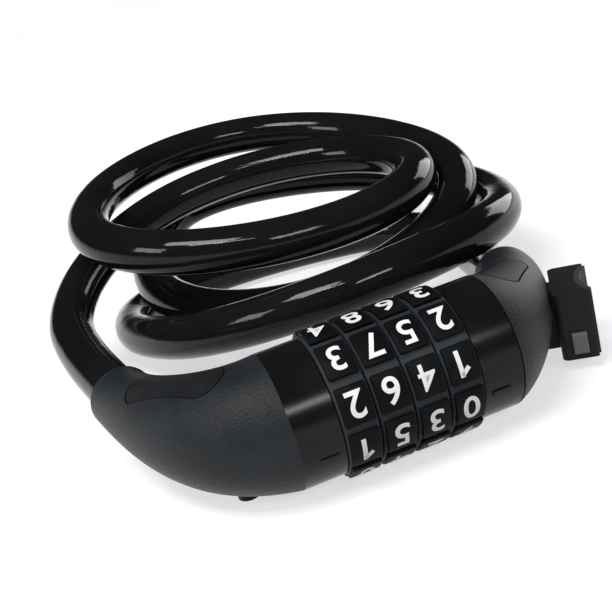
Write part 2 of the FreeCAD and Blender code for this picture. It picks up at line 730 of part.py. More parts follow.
def least_gap(edges, radius):
    """Least distance between the tube's skin and itself, on points away from each other along it."""
    points = []
    travelled = []
    total = 0.0
    for edge in edges:
        count = max(2, int(edge.Length / 2.0))
        for index in range(count):
            place = edge.FirstParameter + (edge.LastParameter - edge.FirstParameter) * index / count
            points.append(edge.valueAt(place))
            travelled.append(total + edge.Length * index / count)
        total += edge.Length
    least = 1e9
    for i, point in enumerate(points):
        for j in range(i + 1, len(points)):
            if travelled[j] - travelled[i] > 5 * radius:
                least = min(least, (points[j] - point).Length)
    return least - 2 * radius


def cable_coil():
    """The cable's loops as one unbroken tube."""
    edges, radii = coil_path()
    print("coil radii", [round(radius) for radius in radii])
    print("coil gap to itself", round(least_gap(edges, CABLE_RADIUS), 2))
    coil = tube_along(edges, CABLE_RADIUS)
    check_volume("coil", coil, edges, CABLE_RADIUS)
    return coil


def lead_path(points):
    """Straight runs between points, joined by arcs as large as the runs allow."""
    edges = []
    radii = []
    start = points[0]
    for index in range(1, len(points) - 1):
        corner = points[index]
        before = corner - points[index - 1]
        after = points[index + 1] - corner
        shorter = min(before.Length, after.Length)
        before.normalize()
        after.normalize()
        half_turn = before.getAngle(after) / 2
        trim = MIDDLE_OF_RUN * shorter
        radius = trim / math.tan(half_turn)
        arc_start = corner - before * trim
        arc_end = corner + after * trim
        bisector = after - before
        bisector.normalize()
        middle = corner + bisector * (radius / math.cos(half_turn) - radius)
        edges.append(Part.LineSegment(start, arc_start).toShape())
        edges.append(Part.Arc(arc_start, middle, arc_end).toShape())
        radii.append(round(radius))
        start = arc_end
    edges.append(Part.LineSegment(start, points[-1]).toShape())
    return edges, radii


def lead(name, points):
    """Free stretch of cable between a housing's mouth and the loops."""
    edges, radii = lead_path(points)
    print(name, "radii", radii)
    tube = tube_along(edges, CABLE_RADIUS)
    check_volume(name, tube, edges, CABLE_RADIUS)
    return tube


def right_lead():
    """Cable from the right housing down to the loops."""
    mouth, heading = cable_exit(RIGHT_BEND)
    start = mouth + heading * PLUG_LEAD_GAP
    points, headings = coil_places()
    end = points[0] - headings[0] * END_RUN
    return lead("right_lead", [start, start + heading * LEAD_RUN, end - headings[0] * LEAD_RUN, end])


def left_lead():
    """Cable from the loops down to the left housing."""
    mouth, heading = cable_exit(LEFT_BEND)
    points, headings = coil_places()
    end = points[-1] + headings[-1] * END_RUN
    return lead("left_lead", [mouth, mouth + heading * LEAD_RUN / 2, end + headings[-1] * LEAD_RUN / 2, end])


def build():
    """All pieces of the lock by name, in the frame of the dial axis."""
    pieces = {}
    for number in range(1, DIAL_COUNT + 1):
        pieces[f"dial_{number}"] = dial(number)
        pieces[f"clutch_ring_{number}"] = clutch_ring(number)
    pieces["core_tube"] = core_tube()
    pieces["core_nut"] = core_nut()
    pieces["left_collar"] = left_collar()
    pieces["wave_washer"] = wave_washer()
    pieces["left_bulkhead"] = left_bulkhead()
    pieces["right_collar"] = right_collar()
    pieces["collar_screw"] = collar_screw()
    pieces["plug_carrier"] = plug_carrier()
    pieces["lock_pin"] = lock_pin()
    pieces["pin_screw"] = pin_screw()
    pieces["seal_ring"] = seal_ring()
    sides = (
        ("left", LEFT_BEND, LEFT_INLAY),
        ("right", RIGHT_BEND, RIGHT_INLAY),
    )
    for name, bend, inlay_size in sides:
        pieces[f"{name}_housing"] = housing(bend, inlay_size)
        pieces[f"{name}_inlay"] = inlay(bend, inlay_size)
        pieces[f"{name}_ferrule"] = ferrule(bend)
        pieces[f"{name}_strand_end"] = strand_end(bend)
        pieces[f"{name}_cross_pin"] = cross_pin(bend)
    pieces["bracket_body"] = bracket_body()
    pieces["bracket_liner"] = bracket_liner()
    pieces["release_button"] = release_button()
    pieces["cable_coil"] = cable_coil()
    pieces["right_lead"] = right_lead()
    pieces["left_lead"] = left_lead()
    return pieces


CABLE_PIECES = ("cable_coil", "right_lead", "left_lead")


def origin_of(pieces):
    """Middle of the lock's own footprint on the floor, without the free cable."""
    box = FreeCAD.BoundBox()
    for name, shape in pieces.items():
        if name not in CABLE_PIECES:
            box.add(shape.optimalBoundingBox(False, False))
    return V(box.Center.x, box.Center.y, 0)


def main():
    """Builds every piece, moves it to the origin and writes it."""
    os.makedirs("parts", exist_ok=True)
    pieces = build()
    origin = origin_of(pieces)
    print("origin in the dial frame", round(origin.x, 3), round(origin.y, 3))
    saddle = on_rail(Part.Vertex(BRACKET_GAP + BRACKET_DEPTH - SADDLE_DEPTH, 0, 0)).Point
    marks = [foot_place(LEFT_BEND), foot_place(RIGHT_BEND), saddle]
    for bend in (LEFT_BEND, RIGHT_BEND):
        marks += cable_exit(bend)
    for mark in marks:
        print("place or heading", round(mark.x, 3), round(mark.y, 3), round(mark.z, 3))
    print("rail lean", round(rail_lean(), 3))
    for name, shape in pieces.items():
        placed = shape.copy()
        placed.translate(origin * -1)
        placed.exportStep(f"parts/{name}.step")
        if not placed.isValid() or len(placed.Solids) != 1:
            print("look at", name, placed.isValid(), len(placed.Solids))


main()
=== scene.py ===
"""Looks of a combination cable lock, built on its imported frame.

All sizes are in metres, and angles of the wheels in degrees. Places on the lock are first given
in the wheel frame: X along the wheels' axis, the middle of the four wheels at x = 0, the axis
over y = 0, and the surface that the lock lies on at z = 0.
"""

from __future__ import annotations

import json
import logging
import math
from dataclasses import dataclass
from enum import Enum
from functools import partial
from typing import Callable, Iterable, Sequence

import bmesh
import bpy
from mathutils import Matrix, Vector
from mathutils.kdtree import KDTree
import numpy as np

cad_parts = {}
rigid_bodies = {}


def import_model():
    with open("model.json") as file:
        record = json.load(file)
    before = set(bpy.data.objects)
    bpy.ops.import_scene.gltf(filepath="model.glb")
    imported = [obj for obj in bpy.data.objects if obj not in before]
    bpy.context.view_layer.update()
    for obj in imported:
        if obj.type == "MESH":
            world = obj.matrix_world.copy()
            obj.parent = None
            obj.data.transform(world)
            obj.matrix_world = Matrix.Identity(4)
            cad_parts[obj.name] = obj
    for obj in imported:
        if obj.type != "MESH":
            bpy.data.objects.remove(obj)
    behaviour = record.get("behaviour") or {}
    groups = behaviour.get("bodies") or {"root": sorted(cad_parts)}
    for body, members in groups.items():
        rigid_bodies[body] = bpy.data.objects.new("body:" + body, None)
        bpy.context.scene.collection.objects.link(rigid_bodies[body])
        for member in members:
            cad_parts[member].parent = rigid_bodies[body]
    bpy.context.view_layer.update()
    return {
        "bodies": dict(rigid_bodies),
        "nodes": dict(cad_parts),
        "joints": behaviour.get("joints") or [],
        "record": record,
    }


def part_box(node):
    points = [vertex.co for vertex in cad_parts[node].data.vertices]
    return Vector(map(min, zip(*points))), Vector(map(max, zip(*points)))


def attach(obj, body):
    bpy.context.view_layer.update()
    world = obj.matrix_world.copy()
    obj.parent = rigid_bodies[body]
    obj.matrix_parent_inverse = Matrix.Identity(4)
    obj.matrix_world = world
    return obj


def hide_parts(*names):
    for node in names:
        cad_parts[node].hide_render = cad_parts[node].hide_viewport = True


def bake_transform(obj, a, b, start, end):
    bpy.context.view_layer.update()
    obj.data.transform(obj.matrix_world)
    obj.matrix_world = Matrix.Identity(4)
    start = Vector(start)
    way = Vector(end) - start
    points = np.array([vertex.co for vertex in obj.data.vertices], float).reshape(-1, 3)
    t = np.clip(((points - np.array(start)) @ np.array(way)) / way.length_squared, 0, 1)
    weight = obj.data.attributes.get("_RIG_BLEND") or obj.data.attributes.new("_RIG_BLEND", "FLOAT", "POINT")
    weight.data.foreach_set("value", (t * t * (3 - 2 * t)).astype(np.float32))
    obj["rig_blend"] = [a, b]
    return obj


Colour = tuple[float, float, float, float]
Place = tuple[float, float, float]
Socket = bpy.types.NodeSocket

LOG = logging.getLogger("cable_lock")
MERGE_DISTANCE = 1e-6
SMOOTH_ANGLE = 35.0
FIGURES = 10
FIGURE_STEP = 360.0 / FIGURES
WHITE: Colour = (1.0, 1.0, 1.0, 1.0)


class Body(Enum):
    """The bodies that the cable runs between."""

    LOCK = "lock_body"
    PLUG = "plug"


class RayKind(Enum):
    """Kinds of ray that see the background."""

    CAMERA = "Is Camera Ray"
    GLOSSY = "Is Glossy Ray"
    TRANSMISSION = "Is Transmission Ray"


class Span(Enum):
    """How the loops run between two of their outermost places."""

    SIDE_TO_END = 0
    END_TO_SIDE = 1


def grey(level: float, blue: float = 1.0) -> Colour:
    """A grey that may lean to blue.

    Args:
        level: its red share.
        blue: its blue share, as a part of the red one.

    Returns:
        The colour.
    """
    return (level, level * (1 + blue) / 2, level * blue, 1.0)


def show(name: str, data: bpy.types.ID) -> bpy.types.Object:
    """Puts a new object into the scene.

    Args:
        name: its name.
        data: its mesh, curve, lamp or camera.

    Returns:
        The object.
    """
    made = bpy.data.objects.new(name, data)
    bpy.context.scene.collection.objects.link(made)
    return made


def join(work: bmesh.types.BMesh, part: bmesh.types.BMesh) -> None:
    """Moves a part's geometry into a larger mesh and frees the part.

    Args:
        work: the larger mesh.
        part: the part.
    """
    mesh = bpy.data.meshes.new("part")
    part.to_mesh(mesh)
    part.free()
    work.from_mesh(mesh)
    bpy.data.meshes.remove(mesh)


class ShaderGraph:
    """Adds and links the nodes of one shader tree."""

    MIX_INPUTS = (0, 6, 7)
    MIX_RESULT = 2

    def __init__(self, tree: bpy.types.NodeTree) -> None:
        """Takes the tree to work on.

        Args:
            tree: a material's, world's or group's node tree.
        """
        self.tree = tree

    def node(self, kind: str, values: dict[str, object] | None = None,
             **settings: object) -> bpy.types.Node:
        """Adds a node.

        Args:
            kind: the node's type name.
            values: default values for its inputs, by name.
            settings: properties of the node itself.

        Returns:
            The new node.
        """
        made = self.tree.nodes.new(kind)
        for name, value in settings.items():
            setattr(made, name, value)
        for name, value in (values or {}).items():
            made.inputs[name].default_value = value
        return made

    def link(self, source: Socket, target: Socket) -> None:
        """Links an output to an input.

        Args:
            source: the output.
            target: the input.
        """
        self.tree.links.new(source, target)

    def feed(self, term: Socket | Colour | float, target: Socket) -> None:
        """Links an input where an output is given, and sets its value otherwise.

        Args:
            term: an output, a colour or a number.
            target: the input.
        """
        if isinstance(term, Socket):
            self.link(term, target)
        else:
            target.default_value = term

    def math(self, operation: str, *terms: Socket | float) -> Socket:
        """Adds a math node.

        Args:
            operation: its operation.
            terms: outputs or numbers, in order.

        Returns:
            Its output.
        """
        made = self.node("ShaderNodeMath", operation=operation)
        for term, target in zip(terms, made.inputs):
            self.feed(term, target)
        return made.outputs[0]

    def mix(self, share: Socket | float, first: Socket | Colour, second: Socket | Colour) -> Socket:
        """Mixes two colours.

        Args:
            share: 0 for the first colour, 1 for the second.
            first: output or colour.
            second: output or colour.

        Returns:
            The mixed colour.
        """
        made = self.node("ShaderNodeMix", data_type="RGBA")
        for term, index in zip((share, first, second), self.MIX_INPUTS):
            self.feed(term, made.inputs[index])
        return made.outputs[self.MIX_RESULT]

    def noise(self, vector: Socket, scale: Socket | float, detail: float,
              distortion: float = 0.0) -> Socket:
        """Adds a noise texture.

        Args:
            vector: where it is read.
            scale: output or number.
            detail: octaves.
            distortion: how far it is warped.

        Returns:
            Its factor.
        """
        made = self.node("ShaderNodeTexNoise", {"Detail": detail, "Distortion": distortion})
        self.link(vector, made.inputs["Vector"])
        self.feed(scale, made.inputs["Scale"])
        return made.outputs["Fac"]

    def stretch(self, source: Socket, span: tuple[float, float]) -> Socket:
        """Maps a range onto 0 to 1, clamped.

        Args:
            source: the value.
            span: what becomes 0 and what becomes 1.

        Returns:
            The mapped value.
        """
        made = self.node("ShaderNodeMapRange", {"From Min": span[0], "From Max": span[1]})
        self.link(source, made.inputs["Value"])
        return made.outputs["Result"]

    def object_place(self) -> Socket:
        """Adds the object's own coordinates.

        Returns:
            Their output.
        """
        return self.node("ShaderNodeTexCoord").outputs["Object"]


class SharedEffect:
    """A shader node group that several finishes use."""

    NAME = ""
    COLOURS: tuple[str, ...] = ()
    SIZES: dict[str, float] = {}
    RESULTS: tuple[tuple[str, str], ...] = ()

    def tree(self) -> bpy.types.NodeTree:
        """Builds the group once.

        Returns:
            The group's node tree.
        """
        found = bpy.data.node_groups.get(self.NAME)
        if found:
            return found
        tree = bpy.data.node_groups.new(self.NAME, "ShaderNodeTree")
        for name in self.COLOURS:
            tree.interface.new_socket(name, in_out="INPUT", socket_type="NodeSocketColor")
        for name, value in self.SIZES.items():
            made = tree.interface.new_socket(name, in_out="INPUT", socket_type="NodeSocketFloat")
            made.default_value = value
        for name, kind in self.RESULTS:
            tree.interface.new_socket(name, in_out="OUTPUT", socket_type=kind)
        graph = ShaderGraph(tree)
        given = graph.node("NodeGroupInput").outputs
        results = graph.node("NodeGroupOutput").inputs
        self.fill(graph, given, results)
        return tree

    def fill(self, graph: ShaderGraph, given: bpy.types.bpy_prop_collection,
             results: bpy.types.bpy_prop_collection) -> None:
        """Adds the group's own nodes.

        Args:
            graph: the group's graph.
            given: the group's inputs.
            results: the group's outputs.
        """
        raise NotImplementedError

    def place(self, graph: ShaderGraph, **values: Colour | float) -> bpy.types.Node:
        """Places the group in a material.

        Args:
            graph: the material's graph.
            values: the inputs, with underscores for spaces.

        Returns:
            The group node.
        """
        made = graph.node("ShaderNodeGroup", node_tree=self.tree())
        for name, value in values.items():
            made.inputs[name.replace("_", " ")].default_value = value
        return made


class MouldedGrain(SharedEffect):
    """Spark-eroded grain of a moulded surface, with a faint cloudiness."""

    NAME = "moulded_grain"
    COLOURS = ("Colour", "Cloud Colour")
    SIZES = {"Grain Size": 3000.0, "Cloud Size": 90.0, "Roughness": 0.5, "Spread": 0.1}
    RESULTS = (("Colour", "NodeSocketColor"), ("Roughness", "NodeSocketFloat"),
               ("Height", "NodeSocketFloat"))
    GRAIN_DETAIL = 3.0
    CLOUD_DETAIL = 4.0
    CLOUD_WARP = 0.4
    CLOUD_SPAN = (0.35, 0.7)
    FINE_SHARE = 0.4
    MEAN = 0.7

    def fill(self, graph: ShaderGraph, given: bpy.types.bpy_prop_collection,
             results: bpy.types.bpy_prop_collection) -> None:
        """Adds the grain and the clouds.

        Args:
            graph: the group's graph.
            given: the group's inputs.
            results: the group's outputs.
        """
        place = graph.object_place()
        fine = graph.noise(place, given["Grain Size"], self.GRAIN_DETAIL)
        cloud = graph.noise(place, given["Cloud Size"], self.CLOUD_DETAIL, self.CLOUD_WARP)
        share = graph.stretch(cloud, self.CLOUD_SPAN)
        graph.link(graph.mix(share, given["Colour"], given["Cloud Colour"]), results["Colour"])
        both = graph.math("ADD", cloud, graph.math("MULTIPLY", fine, self.FINE_SHARE))
        swing = graph.math("SUBTRACT", both, self.MEAN)
        graph.link(graph.math("MULTIPLY_ADD", swing, given["Spread"], given["Roughness"]),
                   results["Roughness"])
        graph.link(fine, results["Height"])


class HandlingMarks(SharedEffect):
    """Faint smudges and hairlines that handling leaves on a gloss surface."""

    NAME = "handling_marks"
    SIZES = {"Smudge Size": 45.0, "Hairline Size": 240.0, "Amount": 0.3}
    RESULTS = (("Mask", "NodeSocketFloat"),)
    SMUDGE_DETAIL = 5.0
    SMUDGE_WARP = 1.2
    SMUDGE_SPAN = (0.52, 0.74)
    HAIRLINE_TURN = (0.5, 0.3, 0.9)
    HAIRLINE_STRETCH = (1.0, 14.0, 1.0)
    HAIRLINE_DETAIL = 2.0
    HAIRLINE_SPAN = (0.68, 0.76)
    HAIRLINE_SHARE = 0.6

    def fill(self, graph: ShaderGraph, given: bpy.types.bpy_prop_collection,
             results: bpy.types.bpy_prop_collection) -> None:
        """Adds the smudges and the hairlines.

        Args:
            graph: the group's graph.
            given: the group's inputs.
            results: the group's outputs.
        """
        place = graph.object_place()
        blot = graph.noise(place, given["Smudge Size"], self.SMUDGE_DETAIL, self.SMUDGE_WARP)
        smudge = graph.stretch(blot, self.SMUDGE_SPAN)
        turned = graph.node("ShaderNodeMapping", {"Rotation": self.HAIRLINE_TURN,
                                                  "Scale": self.HAIRLINE_STRETCH})
        graph.link(place, turned.inputs["Vector"])
        drawn = graph.noise(turned.outputs["Vector"], given["Hairline Size"], self.HAIRLINE_DETAIL)
        hairline = graph.stretch(drawn, self.HAIRLINE_SPAN)
        both = graph.math("MAXIMUM", smudge, graph.math("MULTIPLY", hairline, self.HAIRLINE_SHARE))
        graph.link(graph.math("MULTIPLY", both, given["Amount"]), results["Mask"])


class LatheLines(SharedEffect):
    """Fine lines that a lathe leaves round the wheels' axis."""

    NAME = "lathe_lines"
    COLOURS = ("Colour", "Line Colour")
    SIZES = {"Line Density": 5000.0, "Roughness": 0.3, "Spread": 0.2}
    RESULTS = (("Colour", "NodeSocketColor"), ("Roughness", "NodeSocketFloat"),
               ("Height", "NodeSocketFloat"))
    LINE_STRETCH = (1.0, 0.02, 0.02)
    LINE_DETAIL = 3.0
    LINE_SPAN = (0.35, 0.7)
    MEAN = 0.5

    def fill(self, graph: ShaderGraph, given: bpy.types.bpy_prop_collection,
             results: bpy.types.bpy_prop_collection) -> None:
        """Adds the lines.

        Args:
            graph: the group's graph.
            given: the group's inputs.
            results: the group's outputs.
        """
        along = graph.node("ShaderNodeMapping", {"Scale": self.LINE_STRETCH})
        graph.link(graph.object_place(), along.inputs["Vector"])
        line = graph.noise(along.outputs["Vector"], given["Line Density"], self.LINE_DETAIL)
        share = graph.stretch(line, self.LINE_SPAN)
        graph.link(graph.mix(share, given["Colour"], given["Line Colour"]), results["Colour"])
        swing = graph.math("SUBTRACT", line, self.MEAN)
        graph.link(graph.math("MULTIPLY_ADD", swing, given["Spread"], given["Roughness"]),
                   results["Roughness"])
        graph.link(line, results["Height"])


@dataclass(frozen=True)
class Finish:
    """Base of the finishes: a name, and what every finish sets on its shader."""

    name: str

    def shader(self) -> tuple[bpy.types.Material, ShaderGraph, bpy.types.Node]:
        """Makes a material that holds only its shader.

        Returns:
            The material, its graph and its Principled shader.
        """
        material = bpy.data.materials.new(self.name)
        material.use_nodes = True
        material.node_tree.nodes.clear()
        graph = ShaderGraph(material.node_tree)
        shader = graph.node("ShaderNodeBsdfPrincipled")
        graph.link(shader.outputs[0], graph.node("ShaderNodeOutputMaterial").inputs["Surface"])
        return material, graph, shader

    def bump(self, graph: ShaderGraph, height: Socket, depth: float,
             shader: bpy.types.Node) -> None:
        """Feeds a height to the shader's normal.

        Args:
            graph: the material's graph.
            height: the height from 0 to 1.
            depth: how deep a height of 1 is.
            shader: the shader that takes it.
        """
        made = graph.node("ShaderNodeBump", {"Strength": 1.0, "Distance": depth})
        graph.link(height, made.inputs["Height"])
        graph.link(made.outputs["Normal"], shader.inputs["Normal"])

    def material(self) -> bpy.types.Material:
        """Makes the finish's material.

        Returns:
            The material.
        """
        raise NotImplementedError


@dataclass(frozen=True)
class MouldedPlastic(Finish):
    """Grained plastic or rubber, from matt to semi-gloss."""

    colour: Colour
    cloud: Colour
    roughness: float
    spread: float
    grain_size: float
    grain_depth: float
    marks: float = 0.0
    specular: float = 0.5

    def material(self) -> bpy.types.Material:
        """Makes the plastic.

        Returns:
            The material.
        """
        material, graph, shader = self.shader()
        grain = MouldedGrain().place(
            graph, Colour=self.colour, Cloud_Colour=self.cloud, Roughness=self.roughness,
            Spread=self.spread, Grain_Size=self.grain_size)
        roughness = grain.outputs["Roughness"]
        if self.marks:
            marks = HandlingMarks().place(graph, Amount=self.marks)
            roughness = graph.math("ADD", roughness, marks.outputs["Mask"])
        graph.link(grain.outputs["Colour"], shader.inputs["Base Color"])
        graph.link(roughness, shader.inputs["Roughness"])
        shader.inputs["Specular IOR Level"].default_value = self.specular
        self.bump(graph, grain.outputs["Height"], self.grain_depth, shader)
        return material


@dataclass(frozen=True)
class GlossSleeve(Finish):
    """Smooth black vinyl, glossy and slightly wavy along its length."""

    colour: Colour
    cloud: Colour
    roughness: float
    spread: float
    cloud_size: float
    wave_size: float
    wave_depth: float
    marks: float
    smudge_size: float
    hairline_size: float
    specular: float

    def material(self) -> bpy.types.Material:
        """Makes the sleeve.

        Returns:
            The material.
        """
        material, graph, shader = self.shader()
        grain = MouldedGrain().place(
            graph, Colour=self.colour, Cloud_Colour=self.cloud, Roughness=self.roughness,
            Spread=self.spread, Grain_Size=self.wave_size, Cloud_Size=self.cloud_size)
        marks = HandlingMarks().place(graph, Amount=self.marks, Smudge_Size=self.smudge_size,
                                      Hairline_Size=self.hairline_size)
        graph.link(grain.outputs["Colour"], shader.inputs["Base Color"])
        graph.link(graph.math("ADD", grain.outputs["Roughness"], marks.outputs["Mask"]),
                   shader.inputs["Roughness"])
        shader.inputs["Specular IOR Level"].default_value = self.specular
        self.bump(graph, grain.outputs["Height"], self.wave_depth, shader)
        return material


@dataclass(frozen=True)
class TurnedMetal(Finish):
    """Metal turned on a lathe, with its fine lines."""

    colour: Colour
    line: Colour
    roughness: float
    spread: float
    density: float = 5000.0
    line_depth: float = 0.00001
    marks: float = 0.12

    def material(self) -> bpy.types.Material:
        """Makes the metal.

        Returns:
            The material.
        """
        material, graph, shader = self.shader()
        lines = LatheLines().place(
            graph, Colour=self.colour, Line_Colour=self.line, Roughness=self.roughness,
            Spread=self.spread, Line_Density=self.density)
        marks = HandlingMarks().place(graph, Amount=self.marks)
        graph.link(lines.outputs["Colour"], shader.inputs["Base Color"])
        graph.link(graph.math("ADD", lines.outputs["Roughness"], marks.outputs["Mask"]),
                   shader.inputs["Roughness"])
        shader.inputs["Metallic"].default_value = 1.0
        self.bump(graph, lines.outputs["Height"], self.line_depth, shader)
        return material


class Palette:
    """Every finish of the lock, made on first use."""

    HOUSING = MouldedPlastic(
        "housing_grain", grey(0.013, 1.35), grey(0.021, 1.35), roughness=0.42, spread=0.16,
        grain_size=2300.0, grain_depth=0.00018, specular=0.16)
    INLAY = MouldedPlastic(
        "grip_inlay", grey(0.009, 1.3), grey(0.014, 1.3), roughness=0.48, spread=0.12,
        grain_size=3000.0, grain_depth=0.00010, specular=0.12)
    COLLAR = MouldedPlastic(
        "collar_gloss", grey(0.005, 1.1), grey(0.008, 1.1), roughness=0.19, spread=0.06,
        grain_size=5000.0, grain_depth=0.000006, marks=0.05, specular=0.19)
    PAD = MouldedPlastic(
        "pad_black", grey(0.004, 1.2), grey(0.007, 1.2), roughness=0.42, spread=0.06,
        grain_size=4600.0, grain_depth=0.000008, marks=0.05, specular=0.05)
    # The rims' lighter bluish grey is painted sheen: it stands for light catching the grooves between the
    # black pads.
    RIM = MouldedPlastic(
        "rim_painted_sheen", grey(0.022, 1.35), grey(0.032, 1.35), roughness=0.38, spread=0.06,
        grain_size=4600.0, grain_depth=0.000008, marks=0.05, specular=0.12)
    DIGIT = MouldedPlastic(
        "digit_white", grey(0.80), grey(0.74), roughness=0.42, spread=0.08,
        grain_size=5200.0, grain_depth=0.000006)
    RUBBER = MouldedPlastic(
        "black_rubber", grey(0.018), grey(0.026), roughness=0.68, spread=0.08,
        grain_size=3600.0, grain_depth=0.00003)
    BRACKET = MouldedPlastic(
        "bracket_grain", grey(0.008, 1.15), grey(0.012, 1.15), roughness=0.5, spread=0.1,
        grain_size=2600.0, grain_depth=0.00003, specular=0.15)
    BUTTON = MouldedPlastic(
        "button_grey", grey(0.07, 1.1), grey(0.085, 1.1), roughness=0.42, spread=0.08,
        grain_size=4000.0, grain_depth=0.00001)
    CABLE = GlossSleeve(
        "cable_sleeve", grey(0.005, 1.2), grey(0.008, 1.2), roughness=0.08, spread=0.04,
        cloud_size=30.0, wave_size=130.0, wave_depth=0.00012, marks=0.05, smudge_size=28.0,
        hairline_size=130.0, specular=0.2)
    STEEL = TurnedMetal("turned_steel", grey(0.52), grey(0.6), roughness=0.28, spread=0.2)
    STRAND = TurnedMetal(
        "wire_strand", grey(0.36), grey(0.5), roughness=0.38, spread=0.25, density=2200.0)
    SPRING = TurnedMetal("spring_steel", grey(0.4), grey(0.48), roughness=0.22, spread=0.12)
    BRASS = TurnedMetal(
        "ring_brass", (0.62, 0.45, 0.2, 1), (0.7, 0.53, 0.26, 1), roughness=0.3, spread=0.18)

    made: dict[str, bpy.types.Material] = {}

    @classmethod
    def get(cls, finish: Finish) -> bpy.types.Material:
        """The material of a finish.

        Args:
            finish: one of the finishes above.

        Returns:
            Its material.
        """
        if finish.name not in cls.made:
            cls.made[finish.name] = finish.material()
        return cls.made[finish.name]


class Workshop:
    """Turns meshes into finished pieces and knows where the lock stands."""

    def __init__(self, frame: dict) -> None:
        """Reads the wheel frame's place from the wheels.
        """
        self.frame = frame
        first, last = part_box("dial_1"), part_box("dial_4")
        middle = (first[0] + last[1]) / 2
        self.offset = Vector((middle.x, (first[0].y + first[1].y) / 2, 0.0))
        self.axis_height = (first[0].z + first[1].z) / 2

    def place(self, point: Sequence[float]) -> Vector:
        """Finds a point of the wheel frame in the lock's own frame.

        Args:
            point: the point.

        Returns:
            The same point in the lock's frame.
        """
        return Vector(point) + self.offset

    def piece(self, name: str, mesh: bpy.types.Mesh, finishes: Sequence[Finish], body: str,
              slot: str, replaces: Iterable[str] = ()) -> bpy.types.Object:
        """Makes a finished piece that rides on a body.

        Args:
            name: the piece's name.
            mesh: its mesh, in the lock's frame.
            finishes: what it is made of, by material index.
            body: the body that it rides on.
            slot: the record's material slot; not used.
            replaces: the CAD nodes that it stands for.

        Returns:
            The piece.
        """
        made = show(name, mesh)
        for finish in finishes:
            mesh.materials.append(Palette.get(finish))
        if replaces:
            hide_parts(*replaces)
        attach(made, body)
        LOG.info("%s: %d faces on %s", name, len(mesh.polygons), body)
        return made

    def dress(self, finish: Finish, *nodes: str) -> None:
        """Gives CAD nodes their finish.

        Args:
            finish: what they are made of.
            nodes: their names.
        """
        for node in nodes:
            for slot in self.frame["nodes"][node].material_slots:
                slot.material = Palette.get(finish)
            LOG.info("%s: dressed in %s", node, finish.name)

    @staticmethod
    def mesh_from(name: str, build: Callable[[bmesh.types.BMesh], None]) -> bpy.types.Mesh:
        """Runs a bmesh recipe and turns its result into a smooth-shaded mesh.

        Args:
            name: the mesh's name.
            build: adds the geometry to an empty bmesh.

        Returns:
            The mesh, with the edges above SMOOTH_ANGLE left sharp.
        """
        work = bmesh.new()
        build(work)
        bmesh.ops.remove_doubles(work, verts=work.verts, dist=MERGE_DISTANCE)
        bmesh.ops.recalc_face_normals(work, faces=work.faces)
        limit = math.radians(SMOOTH_ANGLE)
        for edge in work.edges:
            edge.smooth = len(edge.link_faces) == 2 and edge.calc_face_angle(0) < limit
        for face in work.faces:
            face.smooth = True
        mesh = bpy.data.meshes.new(name)
        work.to_mesh(mesh)
        work.free()
        return mesh


